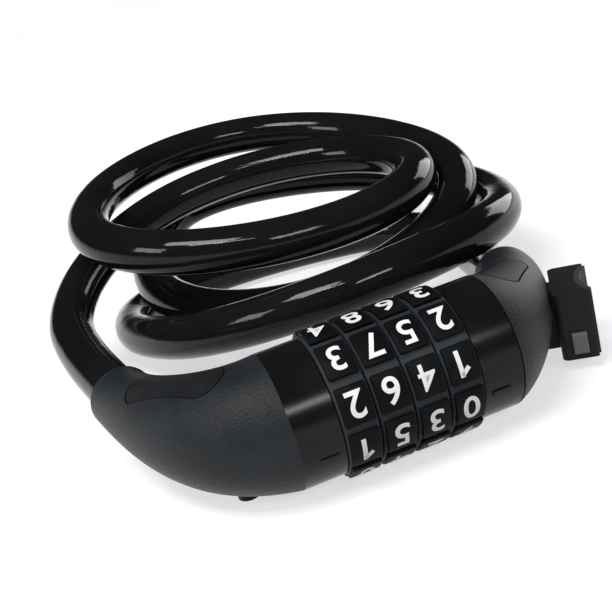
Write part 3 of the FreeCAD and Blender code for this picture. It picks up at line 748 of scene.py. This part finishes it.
@dataclass
class NumberWheels:
    """The four number wheels with their raised pads and white digits.

    Wheel 1 is the left one. A pad's angle is measured at the axis, from the front upwards.
    """

    shop: Workshop
    top_digits: tuple[int, ...] = (3, 7, 5, 2)
    top_angle: float = 54.0
    pitch: float = 0.0076
    width: float = 0.0073
    radius: float = 0.016
    rim_radius: float = 0.0151
    rim_edge: float = 0.00025
    rim_steps: int = 120
    bore_radius: float = 0.01102
    pad_side: float = 0.0005
    pad_groove: float = 0.0017
    pad_root: float = 0.0003
    pad_edge: float = 0.00028
    pad_edge_steps: int = 3
    pad_steps: int = 8
    pad_sharp_angle: float = 40.0
    pad_finish: int = 1
    digit_size: float = 0.0078
    digit_bold: float = 0.0001
    digit_rise: float = 0.00005
    digit_steps: int = 6
    digit_bands: int = 12
    pointed_digit: str = "4"
    pointed_share: float = 0.35
    flagged_digit: str = "1"
    flag_share: float = 0.42
    flag_weight: float = 0.5
    flag_width: float = 0.0009
    flag_slant: float = 38.0
    flag_tuck: float = 0.2

    def centre(self, number: int) -> float:
        """Finds a wheel's place along the axis.

        Args:
            number: the wheel's number.

        Returns:
            The x of its middle.
        """
        return (number - (len(self.top_digits) + 1) / 2) * self.pitch

    def angles(self) -> list[float]:
        """Lists where a wheel's pads stand.

        Returns:
            Their angles, from the top one down the front.
        """
        return [self.top_angle - FIGURE_STEP * index for index in range(FIGURES)]

    def axis_place(self) -> Vector:
        """Finds the wheels' axis.

        Returns:
            A point on it.
        """
        return self.shop.place((0, 0, self.shop.axis_height))

    def rim(self, work: bmesh.types.BMesh, middle: float) -> None:
        """Spins a wheel's rim.

        Args:
            work: where it goes.
            middle: the wheel's place along the axis.
        """
        half, edge = self.width / 2, self.rim_edge
        outline = (
            (-half, self.bore_radius), (half, self.bore_radius),
            (half, self.rim_radius - edge), (half - edge, self.rim_radius),
            (-half + edge, self.rim_radius), (-half, self.rim_radius - edge))
        ring = [
            work.verts.new(self.shop.place((middle + along, 0, self.shop.axis_height + out)))
            for along, out in outline]
        loop = [work.edges.new(pair) for pair in zip(ring, ring[1:] + ring[:1])]
        bmesh.ops.spin(work, geom=ring + loop, cent=self.axis_place(), axis=(1, 0, 0),
                       angle=math.tau, steps=self.rim_steps, use_merge=True)

    def pad(self, work: bmesh.types.BMesh, middle: float, angle: float) -> None:
        """Spins one raised pad and rounds its edges.

        Args:
            work: where it goes.
            middle: the wheel's place along the axis.
            angle: where the pad's middle stands.
        """
        half = self.width / 2 - self.pad_side
        reach = math.radians(FIGURE_STEP) - self.pad_groove / self.rim_radius
        low = self.rim_radius - self.pad_root
        outline = ((-half, low), (half, low), (half, self.radius), (-half, self.radius))
        part = bmesh.new()
        face = part.faces.new([
            part.verts.new(self.shop.place((middle + along, -out, self.shop.axis_height)))
            for along, out in outline])
        bmesh.ops.spin(part, geom=[face], cent=self.axis_place(), axis=(-1, 0, 0), angle=reach,
                       steps=self.pad_steps)
        bmesh.ops.remove_doubles(part, verts=part.verts, dist=MERGE_DISTANCE)
        bmesh.ops.recalc_face_normals(part, faces=part.faces)
        limit = math.radians(self.pad_sharp_angle)
        sharp = [edge for edge in part.edges
                 if edge.is_manifold and edge.calc_face_angle(0) > limit]
        bmesh.ops.bevel(part, geom=sharp, offset=self.pad_edge, offset_type="OFFSET",
                        segments=self.pad_edge_steps, profile=0.5, affect="EDGES", material=-1,
                        clamp_overlap=True)
        turn = Matrix.Rotation(math.radians(angle) - reach / 2, 3, (-1, 0, 0))
        bmesh.ops.rotate(part, verts=part.verts, cent=self.axis_place(), matrix=turn)
        for face in part.faces:
            face.material_index = self.pad_finish
        join(work, part)

    def flag(self, part: bmesh.types.BMesh, top: Vector, length: float) -> None:
        """Gives the digit 1 its slanting flag.

        Args:
            part: the flat digit.
            top: upper right corner of its stroke.
            length: how long the flag is.
        """
        turn = Matrix.Rotation(math.radians(self.flag_slant), 4, "Z")
        size = Matrix.Diagonal((length, self.flag_width, self.digit_rise * 2, 1))
        verts = bmesh.ops.create_cube(part, size=1.0, matrix=turn @ size)["verts"]
        reach = max(vert.co.x + vert.co.y * self.flag_tuck for vert in verts)
        height = max(vert.co.y for vert in verts)
        bmesh.ops.translate(part, verts=verts, vec=(top.x - reach, top.y - height, 0))

    def flat_digit(self, text: str) -> bmesh.types.BMesh:
        """Sets a digit as a thin plate in the XY plane.

        Args:
            text: the digit.

        Returns:
            The plate.
        """
        shape = bpy.data.curves.new("digit_part", "FONT")
        shape.body = text
        shape.size = self.digit_size
        shape.offset = self.digit_bold * (self.pointed_share if text == self.pointed_digit else 1.0)
        shape.extrude = self.digit_rise
        shape.align_x, shape.align_y = "CENTER", "CENTER"
        shape.resolution_u = self.digit_steps
        holder = show("digit_part", shape)
        bpy.context.view_layer.update()
        drawn = holder.evaluated_get(bpy.context.evaluated_depsgraph_get())
        flat = bpy.data.meshes.new_from_object(drawn)
        bpy.data.objects.remove(holder)
        bpy.data.curves.remove(shape)
        part = bmesh.new()
        part.from_mesh(flat)
        bpy.data.meshes.remove(flat)
        return part

    def digit(self, work: bmesh.types.BMesh, text: str, middle: float, angle: float) -> None:
        """Wraps one digit on its pad, upside down as the wheels show it.

        Args:
            work: where it goes.
            text: the digit.
            middle: the wheel's place along the axis.
            angle: where its pad stands.
        """
        part = self.flat_digit(text)
        left, right = (pick(vert.co.x for vert in part.verts) for pick in (min, max))
        low, high = (pick(vert.co.y for vert in part.verts) for pick in (min, max))
        if text == self.flagged_digit:
            length = (high - low) * self.flag_share
            self.flag(part, Vector((right, high, 0)), length)
            left -= length * self.flag_weight
        for index in range(1, self.digit_bands):
            level = low + (high - low) * index / self.digit_bands
            whole = list(part.verts) + list(part.edges) + list(part.faces)
            bmesh.ops.bisect_plane(part, geom=whole, plane_co=(0, level, 0), plane_no=(0, 1, 0))
        bmesh.ops.triangulate(part, faces=part.faces)
        for vert in part.verts:
            across = vert.co.x - (left + right) / 2
            turn = math.radians(angle) - (vert.co.y - (low + high) / 2) / self.radius
            out = self.radius + vert.co.z
            vert.co = self.shop.place((
                middle - across, -out * math.cos(turn),
                self.shop.axis_height + out * math.sin(turn)))
        join(work, part)

    def wheel(self, work: bmesh.types.BMesh, number: int) -> None:
        """Adds a wheel's rim and its pads.

        Args:
            work: where they go.
            number: the wheel's number.
        """
        self.rim(work, self.centre(number))
        for angle in self.angles():
            self.pad(work, self.centre(number), angle)

    def digits(self, work: bmesh.types.BMesh, number: int) -> None:
        """Adds a wheel's digits.

        Args:
            work: where they go.
            number: the wheel's number.
        """
        for index, angle in enumerate(self.angles()):
            figure = (self.top_digits[number - 1] - index) % FIGURES
            self.digit(work, str(figure), self.centre(number), angle)

    def build(self) -> None:
        """Makes every wheel and its digits."""
        shop = self.shop
        for number in range(1, len(self.top_digits) + 1):
            name, body = f"wheel_{number}_rim", f"wheel_{number}"
            mesh = shop.mesh_from(name, partial(self.wheel, number=number))
            # The rims carry the painted groove sheen; the pads are plain black.
            shop.piece(name, mesh, (Palette.RIM, Palette.PAD), body, "dial_plastic",
                       (f"dial_{number}",))
            name = f"wheel_{number}_digits"
            mesh = shop.mesh_from(name, partial(self.digits, number=number))
            shop.piece(name, mesh, (Palette.DIGIT,), body, "dial_plastic")
            shop.dress(Palette.BRASS, f"clutch_ring_{number}")


@dataclass
class Cable:
    """The glossy cable from the pull-out end, round its loops, to the left housing.

    Each of its turns lists its outermost places: right, back, left and front. The runs hold the
    spline's control points between the housings and the loops.
    """

    shop: Workshop
    diameter: float = 0.012
    length: float = 1.25
    points_per_quarter: int = 4
    line_steps: int = 12
    ring_steps: int = 10
    follow_length: float = 0.17
    blend_start: int = 3
    blend_attribute: str = "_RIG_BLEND"
    turns: tuple[tuple[Place, ...], ...] = (
        ((0.0610, 0.0960, 0.0064), (-0.0050, 0.1410, 0.0068),
         (-0.0400, 0.1080, 0.0096), (0.0170, 0.0390, 0.0243)),
        ((0.0723, 0.0950, 0.0193), (0.0000, 0.1580, 0.0292),
         (-0.0293, 0.1140, 0.0184), (0.0150, 0.0565, 0.0174)),
        ((0.0645, 0.1000, 0.0315), (0.0110, 0.1630, 0.0464),
         (-0.0435, 0.1000, 0.0432), (0.0080, 0.0570, 0.0346)),
        ((0.0516, 0.0970, 0.0350), (-0.0045, 0.1380, 0.0374), (-0.0580, 0.0780, 0.0204)))
    right_run: tuple[Place, ...] = (
        (0.048005, 0.036620, 0.013196), (0.05205, 0.0507, 0.01024), (0.0552, 0.0620, 0.0079),
        (0.0580, 0.0735, 0.0065), (0.0603, 0.0865, 0.0063), (0.0618, 0.1000, 0.0062),
        (0.0596, 0.1126, 0.0062), (0.0532, 0.1230, 0.0063), (0.0451, 0.1298, 0.0064),
        (0.0334, 0.1346, 0.0065), (0.0193, 0.1386, 0.0066), (0.0067, 0.1407, 0.0067))
    left_run: tuple[Place, ...] = (
        (-0.0568, 0.0705, 0.0196), (-0.05392, 0.05278, 0.01802), (-0.0513, 0.03928, 0.0171))

    def quarter(self, start: Vector, end: Vector, span: Span,
                slopes: tuple[float, float]) -> list[Vector]:
        """Lists the control points of a quarter turn between two outermost places.

        Args:
            start: where the quarter starts.
            end: where it ends.
            span: which way it runs.
            slopes: how much it climbs per quarter at both ends.

        Returns:
            The points, a little outside the turn, because the spline cuts its corners.
        """
        count = self.points_per_quarter
        outward = 1 / math.cos(math.pi / 4 / count)
        made = []
        for index in range(count):
            share = (index + 0.5) / count
            along = math.cos(share * math.pi / 2) * outward
            across = math.sin(share * math.pi / 2) * outward
            if span is Span.SIDE_TO_END:
                x = end.x + (start.x - end.x) * along
                y = start.y + (end.y - start.y) * across
            else:
                x = start.x + (end.x - start.x) * across
                y = end.y + (start.y - end.y) * along
            square, cube = share ** 2, share ** 3
            z = ((2 * cube - 3 * square + 1) * start.z + (cube - 2 * square + share) * slopes[0]
                 + (3 * square - 2 * cube) * end.z + (cube - square) * slopes[1])
            made.append(Vector((x, y, z)))
        return made

    def route(self) -> list[Vector]:
        """Lists the cable's control points.

        Returns:
            The points, from the pull-out end on. The first quarter turn is part of right_run.
        """
        places = [Vector(place) for turn in self.turns for place in turn]
        final = len(places) - 1
        climbs = []
        for index in range(len(places)):
            before, after = max(index - 1, 0), min(index + 1, final)
            climbs.append((places[after].z - places[before].z) / (after - before))
        loops = []
        for index in range(1, final):
            loops += self.quarter(places[index], places[index + 1], Span(index % 2),
                                  (climbs[index], climbs[index + 1]))
        return [Vector(p) for p in self.right_run] + loops + [Vector(p) for p in self.left_run]

    def spline(self) -> bpy.types.Object:
        """Draws the cable's smooth line.

        Returns:
            A curve object without thickness.
        """
        route = self.route()
        curve = bpy.data.curves.new("cable_line", "CURVE")
        curve.dimensions = "3D"
        curve.resolution_u = self.line_steps
        line = curve.splines.new("NURBS")
        line.points.add(len(route) - 1)
        for point, place in zip(line.points, route):
            point.co = (*self.shop.place(place), 1.0)
        line.use_endpoint_u = True
        line.order_u = 3
        return show("cable_line", curve)

    def build(self) -> None:
        """Makes the cable, whose first stretch follows the pull-out end."""
        holder = self.spline()
        bare = bpy.data.meshes.new_from_object(holder)
        path = [vert.co.copy() for vert in bare.vertices]
        bpy.data.meshes.remove(bare)
        curve = holder.data
        curve.bevel_depth = self.diameter / 2
        curve.bevel_resolution = self.ring_steps
        curve.use_fill_caps = True
        tube = bpy.data.meshes.new_from_object(holder)
        bpy.data.objects.remove(holder)
        tube.name = "cable"
        for face in tube.polygons:
            face.use_smooth = True
        tube.materials.append(Palette.get(Palette.CABLE))
        cable = show("cable", tube)
        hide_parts("cable_coil", "right_lead", "left_lead")
        mouth = self.shop.place(self.right_run[0])
        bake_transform(cable, Body.LOCK.value, Body.PLUG.value,
                 start=self.shop.place(self.right_run[self.blend_start]), end=mouth)
        self.follow(cable, path)
        LOG.info("cable: %d faces", len(tube.polygons))

    def follow(self, cable: bpy.types.Object, path: list[Vector]) -> None:
        """Lets only the cable's first stretch follow the pull-out end, by length along the cable.

        Args:
            cable: the blended piece.
            path: points along its line, from the pull-out end on.
        """
        tree = KDTree(len(path))
        travelled = [0.0]
        for index, point in enumerate(path):
            tree.insert(point, index)
            if index:
                travelled.append(travelled[-1] + (point - path[index - 1]).length)
        tree.balance()
        weights = []
        for vert in cable.data.vertices:
            nearest = tree.find(vert.co)[1]
            share = 1 - min(travelled[nearest] / self.follow_length, 1.0)
            weights.append(share * share * (3 - 2 * share))
        cable.data.attributes[self.blend_attribute].data.foreach_set("value", weights)


@dataclass
class LockBody:
    """Housings, collars and the metal parts inside them, with the pull-out end."""

    shop: Workshop

    def build(self) -> None:
        """Dresses the fixed parts and the pull-out end."""
        dress = self.shop.dress
        dress(Palette.HOUSING, "left_housing", "right_housing")
        dress(Palette.INLAY, "left_inlay", "right_inlay")
        dress(Palette.COLLAR, "left_collar", "right_collar")
        dress(Palette.STEEL, "core_tube", "core_nut", "left_bulkhead", "plug_carrier",
              "lock_pin", "pin_screw", "collar_screw", "left_ferrule", "right_ferrule",
              "left_cross_pin", "right_cross_pin")
        dress(Palette.STRAND, "left_strand_end", "right_strand_end")
        dress(Palette.SPRING, "wave_washer")
        dress(Palette.RUBBER, "seal_ring")


@dataclass
class Bracket:
    """The carrying bracket on the pull-out end."""

    shop: Workshop

    def build(self) -> None:
        """Dresses the bracket, its lining and its button."""
        dress = self.shop.dress
        dress(Palette.BRACKET, "bracket_body")
        dress(Palette.RUBBER, "bracket_liner")
        dress(Palette.BUTTON, "release_button")


@dataclass(frozen=True)
class SoftBox:
    """A rectangular studio lamp."""

    name: str
    place: Place
    aim: Place
    size: tuple[float, float]
    power: float

    def build(self) -> None:
        """Makes the lamp."""
        lamp = bpy.data.lights.new(self.name, "AREA")
        lamp.shape = "RECTANGLE"
        lamp.size, lamp.size_y = self.size
        lamp.energy = self.power
        holder = show(self.name, lamp)
        holder.location = self.place
        ahead = Vector(self.aim) - Vector(self.place)
        holder.rotation_euler = ahead.to_track_quat("-Z", "Y").to_euler()


@dataclass
class Studio:
    """Camera, lamps, floor and background.

    The floor's emission and the background are only for rays of the kinds in RayKind. The
    emission rises from near_level to far_level between near_radius and far_radius.
    """

    shop: Workshop
    camera_place: Place = (-0.0541, -0.1817, 0.1055)
    camera_right: Place = (0.9193, -0.3048, -0.2492)
    camera_ahead: Place = (0.211, 0.916, -0.342)
    lens: float = 58.82
    sensor: float = 36.0
    clip: tuple[float, float] = (0.01, 20.0)
    floor_size: float = 6.0
    floor_drop: float = 0.00005
    floor_colour: Colour = grey(0.42)
    floor_roughness: float = 0.9
    floor_specular: float = 0.1
    near_level: float = 0.62
    far_level: float = 0.9
    near_radius: float = 0.16
    far_radius: float = 0.45
    room_level: float = 0.22
    dome_level: float = 0.02
    horizon: float = 0.12
    lamps: tuple[SoftBox, ...] = (
        SoftBox("overhead", (-0.33, -0.22, 0.82), aim=(0.0, 0.04, 0.02),
                size=(0.42, 0.24), power=5.0),
        SoftBox("strip", (-0.30, -0.40, 0.76), aim=(0.0, 0.05, 0.02),
                size=(0.42, 0.016), power=1.3),
        SoftBox("front", (0.14, -0.80, 0.57), aim=(-0.01, 0.01, 0.02),
                size=(0.40, 0.12), power=2.5),
        SoftBox("left", (-0.80, -0.16, 0.50), aim=(-0.04, 0.0, 0.02),
                size=(0.30, 0.26), power=2.2),
        SoftBox("right", (0.72, 0.45, 0.22), aim=(0.03, 0.05, 0.02),
                size=(0.40, 0.30), power=1.3))

    def camera(self) -> None:
        """Places the camera where the photograph was taken from."""
        ahead = Vector(self.camera_ahead).normalized()
        right = Vector(self.camera_right)
        right = (right - ahead * right.dot(ahead)).normalized()
        above = right.cross(ahead)
        lens = bpy.data.cameras.new("camera")
        lens.lens = self.lens
        lens.sensor_width = self.sensor
        lens.clip_start, lens.clip_end = self.clip
        holder = show("camera", lens)
        turn = Matrix((right, above, -ahead)).transposed().to_4x4()
        holder.matrix_world = Matrix.Translation(self.shop.place(self.camera_place)) @ turn
        bpy.context.scene.camera = holder

    @staticmethod
    def rays(graph: ShaderGraph) -> tuple[Socket, Socket, Socket]:
        """Sorts the rays by what they see of the background.

        Args:
            graph: a material's or the world's graph.

        Returns:
            1 for the camera's rays, 1 for those of gloss and glass, and 1 for any of them.
        """
        kinds = graph.node("ShaderNodeLightPath").outputs
        camera = kinds[RayKind.CAMERA.value]
        shiny = graph.math("MAXIMUM", kinds[RayKind.GLOSSY.value],
                           kinds[RayKind.TRANSMISSION.value])
        return camera, shiny, graph.math("MAXIMUM", camera, shiny)

    def floor(self) -> None:
        """Makes the pale floor, which keeps the lock's shadow."""
        work = bmesh.new()
        bmesh.ops.create_grid(work, x_segments=1, y_segments=1, size=self.floor_size)
        mesh = bpy.data.meshes.new("floor")
        work.to_mesh(mesh)
        work.free()
        mesh.transform(Matrix.Translation((0, 0, -self.floor_drop)))
        floor = show("floor", mesh)
        material = bpy.data.materials.new("floor_white")
        material.use_nodes = True
        graph = ShaderGraph(material.node_tree)
        shader = material.node_tree.nodes["Principled BSDF"]
        shader.inputs["Base Color"].default_value = self.floor_colour
        shader.inputs["Roughness"].default_value = self.floor_roughness
        shader.inputs["Specular IOR Level"].default_value = self.floor_specular
        shader.inputs["Emission Color"].default_value = WHITE
        away = graph.node("ShaderNodeVectorMath", operation="LENGTH")
        graph.link(graph.object_place(), away.inputs[0])
        far = graph.stretch(away.outputs["Value"], (self.near_radius, self.far_radius))
        rise = self.far_level - self.near_level
        level = graph.math("MULTIPLY_ADD", far, rise, self.near_level)
        seen = self.rays(graph)[2]
        graph.link(graph.math("MULTIPLY", seen, level), shader.inputs["Emission Strength"])
        mesh.materials.append(material)

    def room(self) -> None:
        """Makes the room: white to the camera, and to gloss white low down and dim above.

        All other rays find an even, dim light in every direction.
        """
        world = bpy.data.worlds.new("studio")
        bpy.context.scene.world = world
        world.use_nodes = True
        world.node_tree.nodes.clear()
        graph = ShaderGraph(world.node_tree)
        height = graph.node("ShaderNodeSeparateXYZ")
        graph.link(graph.node("ShaderNodeTexCoord").outputs["Generated"], height.inputs[0])
        raised = graph.stretch(height.outputs["Z"], (0.0, self.horizon))
        low = graph.math("SUBTRACT", 1.0, raised)
        dome = graph.math("MULTIPLY_ADD", low, 1 - self.dome_level, self.dome_level)
        camera, shiny, seen = self.rays(graph)
        plain = graph.math("MAXIMUM", camera, graph.math("MULTIPLY", shiny, dome))
        other = graph.math("SUBTRACT", 1.0, seen)
        back = graph.node("ShaderNodeBackground", {"Color": WHITE})
        graph.link(graph.math("MULTIPLY_ADD", other, self.room_level, plain),
                   back.inputs["Strength"])
        graph.link(back.outputs[0], graph.node("ShaderNodeOutputWorld").inputs["Surface"])

    def build(self) -> None:
        """Makes the whole studio."""
        self.camera()
        self.floor()
        self.room()
        for lamp in self.lamps:
            lamp.build()
        bpy.context.scene.view_settings.view_transform = "Standard"


def main() -> None:
    """Builds the lock's looks in order."""
    logging.basicConfig(level=logging.INFO, format="%(name)s %(message)s")
    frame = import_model()
    shop = Workshop(frame)
    Cable(shop).build()
    Studio(shop).build()
    NumberWheels(shop).build()
    LockBody(shop).build()
    Bracket(shop).build()


if __name__ == "__main__":
    main()
